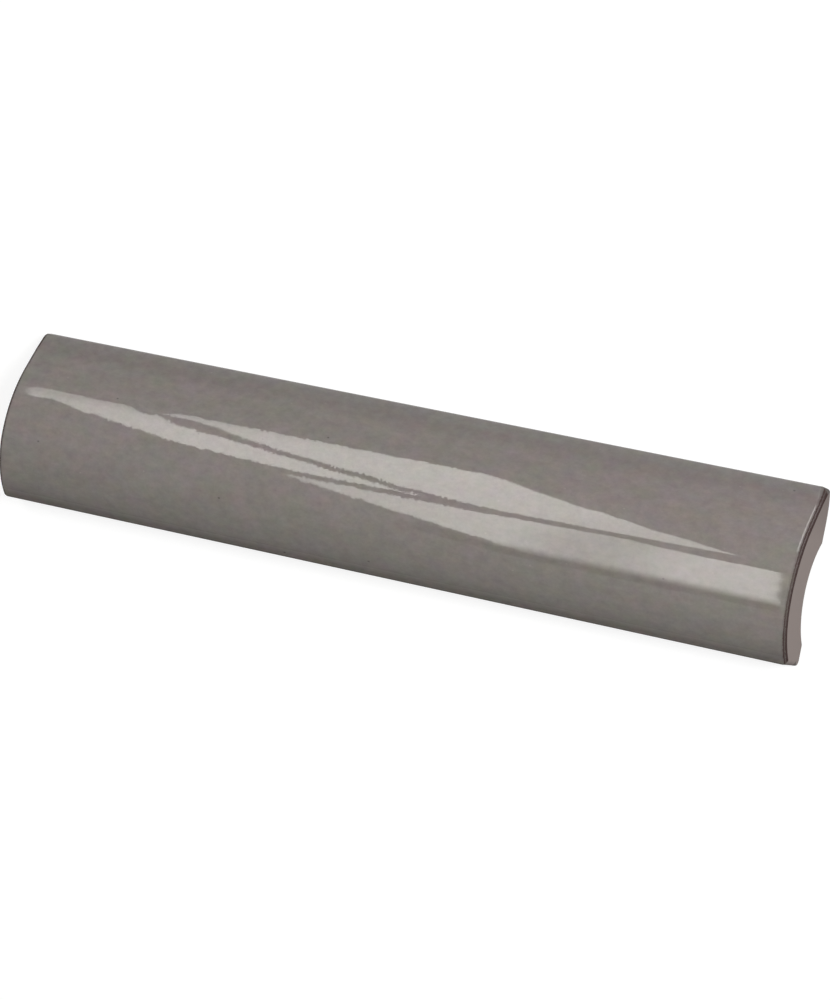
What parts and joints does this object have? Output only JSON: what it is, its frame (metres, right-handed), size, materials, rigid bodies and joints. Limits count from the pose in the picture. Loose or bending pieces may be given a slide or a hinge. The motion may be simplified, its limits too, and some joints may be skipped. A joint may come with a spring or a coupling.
{
  "type": "bullnose trim tile",
  "caption": "Glazed ceramic trim tile with a rounded bullnose face, a thick flat foot side, a thin rounded tip edge and a hollowed back between two flat lands.",
  "frame": {"origin": "middle of the length and of the width, on the plane of the two back lands", "axes": "+X along the tile, +Y from the foot side to the tip edge, +Z out of the wall through the glazed face"},
  "size_m": [0.2, 0.04, 0.015],
  "materials": {
    "glazed_body": "glossy warm grey glaze with a soft mottle"
  },
  "bodies": {
    "root": {"bullnose_tile": "glazed_body"}
  },
  "joints": []
}
